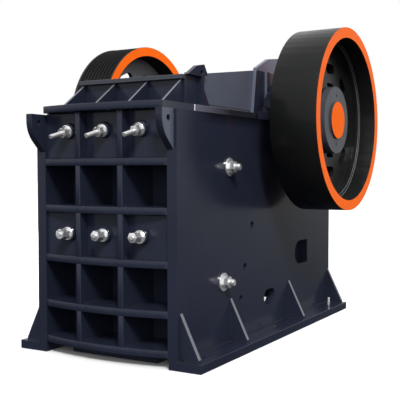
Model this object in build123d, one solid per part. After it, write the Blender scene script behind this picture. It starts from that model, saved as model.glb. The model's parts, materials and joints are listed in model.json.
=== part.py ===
"""Single-toggle jaw crusher: welded frame, bowed front wall, feed frame, jaws and a turning rotor.

Millimetres, +Z up. The front wall faces -Y and the eccentric shaft lies along X.
The origin is on the ground, at the centre of the base.
Lengths called *_from_front are measured along +Y from the front edge of the side walls.
"""
from math import cos, degrees, hypot, radians, sin, tan, tau
import os

from build123d import *

# Overall frame
frame_width = 1100.0
frame_length = 2540.0
wall_thickness = 70.0
wall_top_z = 1585.0
wall_rear_top_z = 1120.0
wall_slope_from_front = 2010.0
cut_overrun = 10.0
seat_gap = 0.3

# Base flanges, their gussets and the anchor holes
base_width = 230.0
base_thickness = 57.0
base_reach = 165.0
anchor_radius = 24.0
anchor_inset = 97.0
anchor_end_inset = 181.0
base_gusset_top_z = 347.0
base_gusset_reach = 132.0
base_gusset_toe = 18.0
base_gusset_thickness = 30.0
base_gusset_clip = 24.0
base_gussets_from_front = (30.0, 675.0, 1649.0)
base_gusset_rear_inset = 10.0

# Bowed front wall
front_bow = 59.0
rib_offset = 165.0
rib_thickness = 40.0
bar_thickness = 46.0
bar_tops_z = (115.0, 357.0, 662.0, 989.0, 1292.0)
cell_depth = 290.0
back_plate_thickness = 50.0
pad_from_front = 20.0
pad_thickness = 40.0
sill_end_inset = 140.0
sill_from_front = 100.0
sill_depth = 120.0

# Lifting ears at the front of the side walls
ear_thickness = 48.0
ear_reach = 126.0
ear_bottom_z = 1340.0
ear_shoulder_z = 1461.0
ear_shoulder_radius = 190.0
ear_root = 90.0
ear_hole_radius = 19.0
ear_hole_reach = 58.0
ear_hole_z = 1528.0

# Bolts that hold the fixed jaw plate
jaw_bolt_pitch = 285.0
upper_bolt_z = 1469.0
lower_bolt_z = 805.0
jaw_bolt_radius = 16.0
jaw_boss_radius = 50.0
jaw_boss_length = 26.0
jaw_washer_radius = 47.0
jaw_washer_thickness = 12.0
upper_bolt_tilt = 14.0
upper_nut_across_flats = 60.0
upper_nut_height = 46.0
upper_stud_length = 132.0
lower_bolt_tilt = 0.0
lower_nut_across_flats = 66.0
lower_nut_height = 84.0
lower_stud_length = 8.0

# Openings in the side walls
slot_behind_beam_front = 30.0
slot_length = 256.0
slot_bottom_z = 456.0
slot_height = 188.0
rear_hole_from_front = 1307.0
rear_hole_length = 190.0
rear_hole_z = 270.0
rear_hole_height = 116.0
plug_hole_radius = 27.0
plug_hole_depth = 24.0
plug_holes_from_front = (1011.0, 900.0, 838.0)
plug_holes_z = (824.0, 535.0, 318.0)

# Top flange
flange_bottom_z = 1592.0
flange_thickness = 46.0
flange_wall_gap = 10.0
flange_overhang = 25.0
flange_front_depth = 345.0
flange_side_width = 60.0
flange_rear_from_front = 1500.0

# Feed frame on the top flange
feed_flange_inset = 53.0
feed_plate_from_front = 318.0
feed_plate_thickness = 22.0
feed_rail_bottom_z = 1800.0
feed_rail_thickness = 29.0
feed_rail_depth = 58.0
feed_gusset_count = 4
feed_gusset_end_inset = 25.0
feed_gusset_thickness = 16.0
feed_gusset_foot_from_front = 70.0
feed_gusset_head_from_front = 306.0
panel_thickness = 20.0
panel_gap = 19.0
panel_front_foot_from_front = 580.0
panel_front_head_from_front = 512.0
panel_rear_foot_from_front = 1259.0
panel_rear_head_from_front = 1310.0
panel_front_top_z = 1853.0
panel_rear_top_z = 1963.0
lug_thickness = 30.0
lug_hole_radius = 17.0
lug_lap = 15.0
front_lug_start_from_front = 305.0
front_lug_rise_from_front = 423.0
front_lug_crest_from_front = 515.0
front_lug_end_from_front = 562.0
front_lug_rise_z = 1896.0
front_lug_crest_z = 1912.0
front_lug_hole_from_front = 482.0
front_lug_hole_z = 1854.0
front_post_start_from_front = 484.0
front_post_end_from_front = 512.0
front_post_waist_z = 1745.0
front_post_foot_from_front = 585.0
rear_post_end_from_front = 1486.0
rear_lug_rise_from_front = 1505.0
rear_lug_crest_from_front = 1700.0
rear_lug_end_from_front = 1770.0
rear_lug_start_z = 1977.0
rear_lug_rise_z = 2068.0
rear_lug_crest_z = 2094.0
rear_lug_end_z = 2005.0
rear_lug_back_from_front = 1700.0
rear_lug_back_z = 1745.0
rear_lug_hole_from_front = 1671.0
rear_lug_hole_z = 2028.0
rear_post_depth = 50.0
feed_rear_bottom_z = 1730.0

# Shaft line
shaft_from_front = 1626.0
shaft_z = 1589.0
journal_radius = 110.0
eccentric_radius = 150.0
eccentric_throw = 20.0
orbit_gap = 6.0
running_gap = 0.3

# Bearing housings
housing_radius = 290.0
housing_wall_reach = 105.0
cover_radius = 215.0
cover_thickness = 34.0
foot_half_length = 380.0
foot_height = 62.0
foot_width = 90.0

# Flywheel
wheel_radius = 676.0
wheel_rim_thickness = 75.0
wheel_clearance = 26.0
wheel_width = 344.0
wheel_web_thickness = 70.0
wheel_web_inset = 158.0
wheel_hub_radius = 249.0
wheel_hub_inset = 106.0
wheel_hub_back = 40.0
wheel_step_radial = 26.0
wheel_step_length = 30.0
window_count = 8
window_radius = 385.0
window_height = 74.0
window_length = 170.0
window_depth = 55.0
hub_slot_count = 2
hub_slot_height = 30.0
hub_slot_length = 130.0
jack_hole_count = 2
jack_hole_radius = 11.0
jack_hole_circle = 181.0
jack_hole_depth = 30.0
cap_radius = 138.0
cap_thickness = 14.0

# Grooved sheave
sheave_width = 336.0
sheave_edge = 17.0
groove_count = 9
groove_depth = 26.0
sheave_web_inset = 150.0
sheave_web_thickness = 34.0
sheave_window_radius = 425.0
sheave_window_height = 104.0
sheave_window_length = 190.0
sheave_window_turn_share = 0.5

# Crushing chamber
cheek_thickness = 30.0
cheek_bottom_z = 330.0
fixed_jaw_bottom_z = 190.0
fixed_jaw_top_z = 1570.0
jaw_plate_thickness = 58.0
tooth_height = 32.0
tooth_count = 9
jaw_cheek_gap = 10.0
gape = 620.0
closed_setting = 110.0
swing_jaw_side_gap = 35.0
swing_jaw_head_radius = 300.0
swing_jaw_top_from_front = 1366.0
swing_jaw_top_z = 1745.0
swing_jaw_heel_from_front = 800.0
swing_jaw_heel_z = 118.0
toggle_seat_from_front = 905.0
toggle_seat_z = 395.0
toggle_seat_height = 150.0
swing_jaw_back_from_front = 1886.0
swing_jaw_back_z = 1440.0

# Toggle plate, toggle beam, tension rod and rear wall
toggle_plate_thickness = 56.0
toggle_plate_end_gap = 40.0
toggle_beam_rear_gap = 300.0
toggle_beam_length = 250.0
toggle_beam_bottom_z = 440.0
toggle_beam_height = 230.0
rod_radius = 24.0
rod_z = 270.0
rod_nut_radius = 52.0
rod_nut_length = 60.0
spring_radius = 78.0
spring_disc_count = 3
spring_disc_rise = 33.0
spring_disc_thickness = 24.0
rear_wall_thickness = 50.0
rear_wall_inset = 60.0
rear_wall_bottom_z = 57.0
rear_wall_top_z = 980.0
rear_rib_count = 4
rear_rib_thickness = 30.0
rear_rib_end_inset = 30.0
rod_hole_radius = 40.0

# Places worked out from the sizes above
front_y = -frame_length / 2
rear_y = frame_length / 2
half_width = frame_width / 2
inner_x = half_width - wall_thickness
base_outer_x = half_width + base_reach
base_inner_x = base_outer_x - base_width
flange_half_width = inner_x - flange_wall_gap
feed_half_width = flange_half_width - feed_flange_inset
jaw_half_width = inner_x - cheek_thickness - jaw_cheek_gap
housing_outer_x = half_width + housing_wall_reach
wheel_inner_x = housing_outer_x + cover_thickness + wheel_clearance
flange_top_z = flange_bottom_z + flange_thickness
feed_rail_top_z = feed_rail_bottom_z + feed_rail_thickness
shaft_y = front_y + shaft_from_front
panel_bottom_z = flange_top_z + panel_gap
fixed_jaw_y = front_y + cell_depth + back_plate_thickness
rear_wall_y = rear_y - rear_wall_inset - rear_wall_thickness
toggle_beam_y = rear_wall_y - toggle_beam_rear_gap - toggle_beam_length
wheel_outer_x = wheel_inner_x + wheel_width
sheave_outer_x = wheel_inner_x + sheave_width


def from_front(distance):
    """Y of a point a given distance behind the front edge of the side walls."""
    return front_y + distance


def block(x_range, y_range, z_range):
    """Box between two values on each axis."""
    size = [high - low for low, high in (x_range, y_range, z_range)]
    centre = [(low + high) / 2 for low, high in (x_range, y_range, z_range)]
    return Pos(*centre) * Box(*size)


def plate_across_x(outline, x_range):
    """Flat plate with an outline of (y, z) points and its thickness along X."""
    low, high = x_range
    face = make_face(Polyline(*outline, close=True))
    return extrude(Plane.YZ.offset(low) * face, amount=high - low)


def plate_across_z(outline, z_range):
    """Flat plate with an outline of (x, y) points and its thickness along Z."""
    low, high = z_range
    face = make_face(Polyline(*outline, close=True))
    return extrude(Plane.XY.offset(low) * face, amount=high - low)


def rod_along_x(radius, x_range, y, z):
    """Round bar along X."""
    low, high = x_range
    return Pos((low + high) / 2, y, z) * Rot(Y=90) * Cylinder(radius, high - low)


def rod_along_y(radius, y_range, x, z):
    """Round bar along Y."""
    low, high = y_range
    return Pos(x, (low + high) / 2, z) * Rot(X=90) * Cylinder(radius, high - low)


def turned(outline):
    """Body turned about the shaft line from an outline of (x, radius) points."""
    face = make_face(Polyline(*outline, close=True))
    return Pos(0, shaft_y, shaft_z) * revolve(face, axis=Axis.X, revolution_arc=360)


def mirrored(solid):
    """The same piece on the left side of the machine."""
    return mirror(solid, about=Plane.YZ)


def bowed_slab(z_range, half_span, overhang, back_y):
    """Level slab whose front edge follows the bow of the front wall."""
    low, high = z_range
    bow_radius = (inner_x ** 2 + front_bow ** 2) / (2 * front_bow)
    edge_drop = bow_radius - (bow_radius ** 2 - half_span ** 2) ** 0.5
    crown_y = front_y - front_bow - overhang
    edge_y = crown_y + edge_drop
    bow = ThreePointArc((-half_span, edge_y), (0, crown_y), (half_span, edge_y))
    rest = Polyline((half_span, edge_y), (half_span, back_y), (-half_span, back_y), (-half_span, edge_y))
    return extrude(Plane.XY.offset(low) * make_face(bow + rest), amount=high - low)


def lifting_ear():
    """Forward lug of the right side wall, wide at the top, with a hole for a shackle."""
    shoulder = (from_front(-ear_reach), ear_shoulder_z)
    outline = [
        (from_front(ear_root), ear_bottom_z),
        (from_front(0), ear_bottom_z),
        shoulder,
        (from_front(-ear_reach), wall_top_z),
        (from_front(ear_root), wall_top_z),
    ]
    face = make_face(Polyline(*outline, close=True))
    corner = face.vertices().sort_by_distance(shoulder)[0]
    face = fillet(corner, ear_shoulder_radius)
    ear = extrude(Plane.YZ.offset(inner_x) * face, amount=ear_thickness)
    through = (inner_x - cut_overrun, inner_x + ear_thickness + cut_overrun)
    return ear - rod_along_x(ear_hole_radius, through, from_front(-ear_hole_reach), ear_hole_z)


def side_wall():
    """Right side wall with its bearing seat, rear openings and lifting ear."""
    outline = [
        (front_y, base_thickness),
        (front_y, wall_top_z),
        (from_front(wall_slope_from_front), wall_top_z),
        (rear_y, wall_rear_top_z),
        (rear_y, base_thickness),
    ]
    wall = plate_across_x(outline, (inner_x, half_width))
    through = (inner_x - cut_overrun, half_width + cut_overrun)
    wall -= rod_along_x(housing_radius + seat_gap, through, shaft_y, shaft_z)
    wall -= toggle_slot(through)
    wall -= rear_hole(through)
    pocket = (half_width - plug_hole_depth, half_width + cut_overrun)
    for distance, z in zip(plug_holes_from_front, plug_holes_z):
        wall -= rod_along_x(plug_hole_radius, pocket, from_front(distance), z)
    return wall + lifting_ear()


def toggle_slot(through):
    """D-shaped cut: straight at the rear, round at the front."""
    low, high = through
    half_height = slot_height / 2
    middle_z = slot_bottom_z + half_height
    slot_y = toggle_beam_y + slot_behind_beam_front
    nose_y = slot_y - slot_length / 2
    heel_y = slot_y + slot_length / 2
    shoulder_y = nose_y + half_height
    top = (shoulder_y, middle_z + half_height)
    bottom = (shoulder_y, middle_z - half_height)
    nose = ThreePointArc(bottom, (nose_y, middle_z), top)
    rest = Polyline(top, (heel_y, middle_z + half_height), (heel_y, middle_z - half_height), bottom)
    return extrude(Plane.YZ.offset(low) * make_face(nose + rest), amount=high - low)


def rear_hole(through):
    """Small oblong window low in the side wall."""
    low, high = through
    face = SlotOverall(rear_hole_length, rear_hole_height)
    place = Plane.YZ.offset(low) * Pos(from_front(rear_hole_from_front), rear_hole_z)
    return extrude(place * face, amount=high - low)


def base_flange():
    """Foot plate under the right side wall, with a row of anchor holes."""
    flange = block((base_inner_x, base_outer_x), (front_y, rear_y), (0, base_thickness))
    hole_x = base_outer_x - anchor_inset
    for y in anchor_rows():
        flange -= Pos(hole_x, y, base_thickness / 2) * Cylinder(anchor_radius, base_thickness + cut_overrun)
    return flange


def anchor_rows():
    """Y of the anchor holes: both ends and the middle."""
    end_y = rear_y - anchor_end_inset
    return (-end_y, 0, end_y)


def base_gussets():
    """Triangular plates between the right side wall and its foot plate, clipped at the inner corner."""
    toe_x = half_width + base_gusset_reach
    outline = [
        (half_width + base_gusset_clip, base_thickness),
        (toe_x, base_thickness),
        (toe_x, base_thickness + base_gusset_toe),
        (half_width, base_gusset_top_z),
        (half_width, base_thickness + base_gusset_clip),
    ]
    face = make_face(Polyline(*outline, close=True))
    plates = []
    backs = [from_front(distance) + base_gusset_thickness for distance in base_gussets_from_front]
    backs.append(rear_y - base_gusset_rear_inset)
    for back_y in backs:
        place = Plane(origin=(0, back_y, 0), x_dir=(1, 0, 0), z_dir=(0, -1, 0))
        plates.append(extrude(place * face, amount=base_gusset_thickness))
    return Compound(children=plates)


def front_bars():
    """Level bars of the front wall, from the lowest up."""
    back_y = from_front(cell_depth)
    return [bowed_slab((top - bar_thickness, top), inner_x, 0, back_y) for top in bar_tops_z]


def rib_bays():
    """Height range of each bay between the bars, from the lowest up."""
    floors = bar_tops_z
    ceilings = [top - bar_thickness for top in bar_tops_z[1:]] + [flange_bottom_z]
    return list(zip(floors, ceilings))


def is_bolt_bay(bay):
    """Whether a bay is closed by plates that carry the jaw bolts."""
    low, high = bay
    return low < upper_bolt_z < high or low < lower_bolt_z < high


def front_ribs():
    """Uprights of the front wall at the right of its centre, one in each bay."""
    x_range = (rib_offset - rib_thickness / 2, rib_offset + rib_thickness / 2)
    back_y = from_front(cell_depth)
    reach = (front_y - front_bow - cut_overrun, back_y)
    ribs = []
    for bay in rib_bays():
        ribs.append(bowed_slab(bay, inner_x, 0, back_y) & block(x_range, reach, bay))
    return Compound(children=ribs)


def bolt_pads():
    """Plates that close the two bolt rows, one in each column."""
    rib_left = -rib_offset - rib_thickness / 2
    rib_right = -rib_offset + rib_thickness / 2
    columns = [(-inner_x, rib_left), (rib_right, -rib_right), (-rib_left, inner_x)]
    y_range = (from_front(pad_from_front), from_front(pad_from_front + pad_thickness))
    pads = []
    for bay in rib_bays():
        if is_bolt_bay(bay):
            pads += [block(column, y_range, bay) for column in columns]
    return Compound(children=pads)


def jaw_bolts(z, tilt, across_flats, nut_height, stud_length):
    """Row of three bolts, each a round boss on its plate, a washer, a nut and the stud's end.

    The bolts lean down toward the front by the tilt, and the boss is cut square to them.
    """
    pad_face = from_front(pad_from_front)
    lean = radians(tilt)
    outward = (0, -cos(lean), -sin(lean))
    boss_depth = jaw_boss_length + 2 * jaw_boss_radius * tan(lean)
    before_pad = block((-inner_x, inner_x), (pad_face - frame_length, pad_face), (0, flange_bottom_z))
    bolts = []
    for step in (-1, 0, 1):
        x = step * jaw_bolt_pitch
        seat = Plane(origin=(x, pad_face - jaw_boss_length, z), x_dir=(1, 0, 0), z_dir=outward)
        boss = extrude(seat * Circle(jaw_boss_radius), amount=-boss_depth) & before_pad
        washer = extrude(seat * Circle(jaw_washer_radius), amount=jaw_washer_thickness)
        nut_base = seat.offset(jaw_washer_thickness)
        nut = extrude(nut_base * RegularPolygon(across_flats / 2, 6, major_radius=False), amount=nut_height)
        stud = extrude(nut_base * Circle(jaw_bolt_radius), amount=nut_height + stud_length)
        bolts.append(boss + washer + nut + stud)
    return Compound(children=bolts)


def front_sill():
    """Ground beam under the lowest bar of the front wall."""
    y_range = (from_front(sill_from_front), from_front(sill_from_front + sill_depth))
    half_length = inner_x - sill_end_inset
    return block((-half_length, half_length), y_range, (0, bar_tops_z[0] - bar_thickness))


def flange_front():
    """Front piece of the top flange, with the same bow as the wall."""
    back_y = from_front(flange_front_depth)
    return bowed_slab((flange_bottom_z, flange_top_z), flange_half_width, flange_overhang, back_y)


def flange_side():
    """Right strip of the top flange."""
    x_range = (flange_half_width - flange_side_width, flange_half_width)
    y_range = (from_front(flange_front_depth), from_front(flange_rear_from_front))
    return block(x_range, y_range, (flange_bottom_z, flange_top_z))


def feed_front_plate():
    """Upright plate at the front of the feed mouth, with a rail along its top."""
    plate_y = from_front(feed_plate_from_front)
    span = (-feed_half_width, feed_half_width)
    plate = block(span, (plate_y, plate_y + feed_plate_thickness), (flange_top_z, feed_rail_bottom_z))
    rail_y = (plate_y + feed_plate_thickness - feed_rail_depth, plate_y + feed_plate_thickness)
    return plate + block(span, rail_y, (feed_rail_bottom_z, feed_rail_top_z))


def feed_gussets():
    """Sloping gussets in front of the feed plate."""
    plate_y = from_front(feed_plate_from_front)
    outline = [
        (from_front(feed_gusset_foot_from_front), flange_top_z),
        (plate_y, flange_top_z),
        (plate_y, feed_rail_bottom_z),
        (from_front(feed_gusset_head_from_front), feed_rail_bottom_z),
    ]
    half = feed_gusset_thickness / 2
    end_x = feed_half_width - feed_gusset_end_inset
    pitch = 2 * end_x / (feed_gusset_count - 1)
    plates = []
    for index in range(feed_gusset_count):
        x = index * pitch - end_x
        plates.append(plate_across_x(outline, (x - half, x + half)))
    return Compound(children=plates)


def feed_panel():
    """Right side panel of the feed frame, taller at the rear."""
    outline = [
        (from_front(panel_front_foot_from_front), panel_bottom_z),
        (from_front(panel_front_head_from_front), panel_front_top_z),
        (from_front(panel_rear_head_from_front), panel_rear_top_z),
        (from_front(panel_rear_foot_from_front), panel_bottom_z),
    ]
    return plate_across_x(outline, (feed_half_width - panel_thickness, feed_half_width))


def panel_top_z(distance):
    """Height of the side panel's top edge at a distance from the front."""
    run = panel_rear_head_from_front - panel_front_head_from_front
    rise = panel_rear_top_z - panel_front_top_z
    return panel_front_top_z + rise * (distance - panel_front_head_from_front) / run


def front_corner(lug):
    """Right front corner of the feed frame: a corner plate, and a post outside it that may carry a lug."""
    outline = [
        (from_front(front_post_end_from_front), feed_rail_top_z),
        (from_front(front_post_end_from_front), front_post_waist_z),
        (from_front(front_post_foot_from_front), flange_top_z),
        (from_front(front_post_start_from_front), flange_top_z),
        (from_front(front_post_start_from_front), feed_rail_top_z),
    ]
    post = plate_across_x(outline + lug, (feed_half_width, feed_half_width + lug_thickness))
    corner_y = (from_front(feed_plate_from_front + feed_plate_thickness), from_front(front_post_end_from_front))
    corner_x = (feed_half_width - panel_thickness, feed_half_width)
    return post + block(corner_x, corner_y, (flange_top_z, feed_rail_top_z + lug_lap))


def rear_corner(lug):
    """Right rear corner of the feed frame beside the bearing housing: a plate, which may carry a lug, and a post."""
    post_end_y = from_front(rear_post_end_from_front)
    outline = [
        (post_end_y, flange_top_z),
        (from_front(panel_rear_foot_from_front - lug_lap), flange_top_z),
        (from_front(panel_rear_head_from_front - lug_lap), panel_rear_top_z),
    ]
    top = lug or [(post_end_y, panel_rear_top_z)]
    plate = plate_across_x(outline + top, (feed_half_width, feed_half_width + lug_thickness))
    post_x = (feed_half_width, feed_half_width + rear_post_depth)
    return plate + block(post_x, (post_end_y - rear_post_depth, post_end_y), (flange_top_z, panel_rear_top_z))


def lug_hole(distance, z):
    """Cut for a shackle through a lug of the feed frame."""
    through = (feed_half_width - panel_thickness - cut_overrun, feed_half_width + lug_thickness + cut_overrun)
    return rod_along_x(lug_hole_radius, through, from_front(distance), z)


def front_lug():
    """Right front corner with its lifting lug."""
    lug = [
        (from_front(front_lug_start_from_front), feed_rail_top_z),
        (from_front(front_lug_rise_from_front), front_lug_rise_z),
        (from_front(front_lug_crest_from_front), front_lug_crest_z),
        (from_front(front_lug_end_from_front), panel_top_z(front_lug_end_from_front) - lug_lap),
        (from_front(panel_front_head_from_front + lug_lap), panel_front_top_z - lug_lap),
    ]
    return front_corner(lug) - lug_hole(front_lug_hole_from_front, front_lug_hole_z)


def rear_lug():
    """Right rear corner with its lifting lug, which reaches back past the shaft."""
    lug = [
        (from_front(panel_rear_head_from_front - lug_lap), rear_lug_start_z),
        (from_front(rear_lug_rise_from_front), rear_lug_rise_z),
        (from_front(rear_lug_crest_from_front), rear_lug_crest_z),
        (from_front(rear_lug_end_from_front), rear_lug_end_z),
        (from_front(rear_lug_back_from_front), rear_lug_back_z),
        (from_front(rear_post_end_from_front), rear_lug_back_z),
    ]
    return rear_corner(lug) - lug_hole(rear_lug_hole_from_front, rear_lug_hole_z)


def feed_rear_plate():
    """Upright plate between the side panels, in front of the swing jaw's head."""
    half_span = feed_half_width - panel_thickness
    plate_y = from_front(panel_rear_foot_from_front)
    y_range = (plate_y - feed_plate_thickness, plate_y)
    return block((-half_span, half_span), y_range, (feed_rear_bottom_z, panel_front_top_z))


def bearing_housing():
    """Right bearing housing in its seat on the side wall, with a cover and two feet."""
    body = rod_along_x(housing_radius, (flange_half_width, housing_outer_x), shaft_y, shaft_z)
    cover_end = housing_outer_x + cover_thickness
    body += rod_along_x(cover_radius, (housing_outer_x, cover_end), shaft_y, shaft_z)
    foot_x = (inner_x, inner_x + foot_width)
    foot_y = (shaft_y - foot_half_length, shaft_y + foot_half_length)
    body += block(foot_x, foot_y, (wall_top_z, wall_top_z + foot_height))
    through = (flange_half_width - cut_overrun, cover_end + cut_overrun)
    return body - rod_along_x(journal_radius + running_gap, through, shaft_y, shaft_z)


def cheek_plate():
    """Right cheek plate: the liner between the jaws."""
    mouth_y = fixed_jaw_y + jaw_plate_thickness + tooth_height + gape
    throat_y = fixed_jaw_y + jaw_plate_thickness + tooth_height + closed_setting
    outline = [
        (fixed_jaw_y, cheek_bottom_z),
        (fixed_jaw_y, flange_bottom_z),
        (mouth_y, flange_bottom_z),
        (throat_y, cheek_bottom_z),
    ]
    return plate_across_x(outline, (inner_x - cheek_thickness, inner_x))


def toothed_plate(height):
    """Jaw plate lying flat: back at y = 0, teeth toward -Y, running along Z from 0 to its height."""
    pitch = 2 * jaw_half_width / tooth_count
    valley_y = -jaw_plate_thickness
    crest_y = valley_y - tooth_height
    points = [(-jaw_half_width, 0), (-jaw_half_width, valley_y)]
    for index in range(tooth_count):
        left = -jaw_half_width + index * pitch
        points += [(left + pitch / 2, crest_y), (left + pitch, valley_y)]
    points.append((jaw_half_width, 0))
    return plate_across_z(points, (0, height))


def fixed_jaw_plate():
    """Toothed plate on the back of the front wall."""
    height = fixed_jaw_top_z - fixed_jaw_bottom_z
    return Pos(0, fixed_jaw_y, fixed_jaw_bottom_z) * Rot(Z=180) * toothed_plate(height)


def swing_line():
    """Lower and upper end of the swing jaw's tooth crests, as (y, z)."""
    crest_y = fixed_jaw_y + jaw_plate_thickness + tooth_height
    return (crest_y + closed_setting, fixed_jaw_bottom_z), (crest_y + gape, fixed_jaw_top_z)


def swing_seat():
    """Lower and upper end of the swing jaw's seat for its plate, as (y, z), and its length."""
    (low_y, low_z), (high_y, high_z) = swing_line()
    length = hypot(high_y - low_y, high_z - low_z)
    along = ((high_y - low_y) / length, (high_z - low_z) / length)
    depth = jaw_plate_thickness + tooth_height
    back = (depth * along[1], -depth * along[0])
    low = (low_y + back[0], low_z + back[1])
    high = (high_y + back[0], high_z + back[1])
    return low, high, length, along


def swing_jaw_plate():
    """Toothed plate on the swing jaw."""
    low, high, length, along = swing_seat()
    seat = Plane(origin=(0, low[0], low[1]), x_dir=(1, 0, 0), z_dir=(0, along[0], along[1]))
    return seat * toothed_plate(length)


def swing_jaw():
    """Swing jaw: a hollow-bored head on the eccentric and a body that carries its plate."""
    low, high, length, along = swing_seat()
    body_outline = [
        low,
        high,
        (from_front(swing_jaw_top_from_front), swing_jaw_top_z),
        (from_front(swing_jaw_back_from_front), swing_jaw_back_z),
        (from_front(toggle_seat_from_front), toggle_seat_z + toggle_seat_height),
        (from_front(toggle_seat_from_front), toggle_seat_z),
        (from_front(swing_jaw_heel_from_front), swing_jaw_heel_z),
    ]
    half_span = jaw_half_width - swing_jaw_side_gap
    x_range = (-half_span, half_span)
    body = plate_across_x(body_outline, x_range)
    body += rod_along_x(swing_jaw_head_radius, x_range, shaft_y, shaft_z)
    bore_radius = eccentric_radius + eccentric_throw + orbit_gap
    through = (-half_span - cut_overrun, half_span + cut_overrun)
    return body - rod_along_x(bore_radius, through, shaft_y, shaft_z)


def toggle_ends():
    """Centre of the toggle plate's two ends, as (y, z)."""
    jaw_end = (from_front(toggle_seat_from_front), toggle_seat_z + toggle_seat_height / 2)
    beam_end = (toggle_beam_y, toggle_beam_bottom_z + toggle_beam_height / 2)
    return jaw_end, beam_end


def toggle_plate():
    """Plate that holds the swing jaw's foot off the toggle beam."""
    (jaw_y, jaw_z), (beam_y, beam_z) = toggle_ends()
    half = toggle_plate_thickness / 2
    outline = [(jaw_y, jaw_z - half), (beam_y, beam_z - half), (beam_y, beam_z + half), (jaw_y, jaw_z + half)]
    half_span = jaw_half_width - toggle_plate_end_gap
    return plate_across_x(outline, (-half_span, half_span))


def toggle_beam():
    """Beam behind the side wall slots that takes the toggle plate's thrust."""
    y_range = (toggle_beam_y, toggle_beam_y + toggle_beam_length)
    z_range = (toggle_beam_bottom_z, toggle_beam_bottom_z + toggle_beam_height)
    return block((-inner_x, inner_x), y_range, z_range)


def rear_wall():
    """Rear wall between the side walls, with outside ribs and a hole for the tension rod."""
    z_range = (rear_wall_bottom_z, rear_wall_top_z)
    back_y = rear_wall_y + rear_wall_thickness
    wall = block((-inner_x, inner_x), (rear_wall_y, back_y), z_range)
    end_x = inner_x - rear_rib_end_inset
    spacing = 2 * end_x / (rear_rib_count - 1)
    for index in range(rear_rib_count):
        x = index * spacing - end_x
        wall += block((x - rear_rib_thickness / 2, x + rear_rib_thickness / 2), (back_y, rear_y), z_range)
    through = (rear_wall_y - cut_overrun, back_y + cut_overrun)
    return wall - rod_along_y(rod_hole_radius, through, 0, rod_z)


def tension_rod():
    """Rod from the swing jaw's heel through the rear wall, with a stack of disc springs and a nut."""
    slope = (toggle_seat_from_front - swing_jaw_heel_from_front) / (toggle_seat_z - swing_jaw_heel_z)
    start_y = from_front(swing_jaw_heel_from_front + slope * (rod_z + rod_radius - swing_jaw_heel_z))
    spring_y = rear_wall_y + rear_wall_thickness
    outline = [(start_y, 0), (start_y, rod_radius), (spring_y, rod_radius)]
    for index in range(spring_disc_count):
        disc_y = spring_y + index * spring_disc_rise
        outline += [
            (disc_y, spring_radius),
            (disc_y + spring_disc_thickness, spring_radius),
            (disc_y + spring_disc_thickness, rod_nut_radius),
            (disc_y + spring_disc_rise, rod_nut_radius),
        ]
    nut_y = spring_y + spring_disc_count * spring_disc_rise
    outline += [(nut_y + rod_nut_length, rod_nut_radius), (nut_y + rod_nut_length, 0)]
    face = make_face(Polyline(*outline, close=True))
    rod = revolve(face, axis=Axis.X, revolution_arc=360)
    return Pos(0, 0, rod_z) * Rot(Z=90) * rod


def eccentric_shaft():
    """Shaft with journals at both ends and an offset middle for the swing jaw's head."""
    end_x = wheel_outer_x - wheel_hub_inset
    journals = rod_along_x(journal_radius, (-end_x, end_x), shaft_y, shaft_z)
    half_span = jaw_half_width - swing_jaw_side_gap
    return journals + rod_along_x(eccentric_radius, (-half_span, half_span), shaft_y + eccentric_throw, shaft_z)


def ring_slots(count, radius, length, height, x_range, first_step=0):
    """Ring of slots in a wheel's web, the first one at the top or a share of a step past it."""
    low, high = x_range
    cuts = []
    for index in range(count):
        angle = tau * (index + first_step) / count
        y = shaft_y + radius * sin(angle)
        z = shaft_z + radius * cos(angle)
        slot = Rot(Z=-degrees(angle)) * SlotOverall(length, height)
        cuts.append(extrude(Plane.YZ.offset(low) * Pos(y, z) * slot, amount=high - low))
    return cuts


def flywheel():
    """Dished flywheel with a stepped rim, pockets in its web, and a hub with two jack holes."""
    rim_inner = wheel_radius - wheel_rim_thickness
    step_radius = rim_inner - wheel_step_radial
    web_outer_x = wheel_outer_x - wheel_web_inset
    web_inner_x = web_outer_x - wheel_web_thickness
    hub_x = wheel_outer_x - wheel_hub_inset
    hub_back_x = wheel_inner_x + wheel_hub_back
    outline = [
        (hub_back_x, journal_radius),
        (hub_x, journal_radius),
        (hub_x, wheel_hub_radius),
        (web_outer_x, wheel_hub_radius),
        (web_outer_x, step_radius),
        (web_outer_x + wheel_step_length, step_radius),
        (web_outer_x + wheel_step_length, rim_inner),
        (wheel_outer_x, rim_inner),
        (wheel_outer_x, wheel_radius),
        (wheel_inner_x, wheel_radius),
        (wheel_inner_x, rim_inner),
        (web_inner_x, rim_inner),
        (web_inner_x, wheel_hub_radius),
        (hub_back_x, wheel_hub_radius),
    ]
    wheel = turned(outline)
    pocket = (web_outer_x - window_depth, web_outer_x + cut_overrun)
    for cut in ring_slots(window_count, window_radius, window_length, window_height, pocket):
        wheel -= cut
    hub_slot_radius = wheel_hub_radius + hub_slot_height / 2
    for cut in ring_slots(hub_slot_count, hub_slot_radius, hub_slot_length, hub_slot_height, pocket):
        wheel -= cut
    jack_hole = (hub_x - jack_hole_depth, hub_x + cut_overrun)
    for index in range(jack_hole_count):
        z = shaft_z + jack_hole_circle * cos(tau * index / jack_hole_count)
        wheel -= rod_along_x(jack_hole_radius, jack_hole, shaft_y, z)
    return wheel


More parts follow.
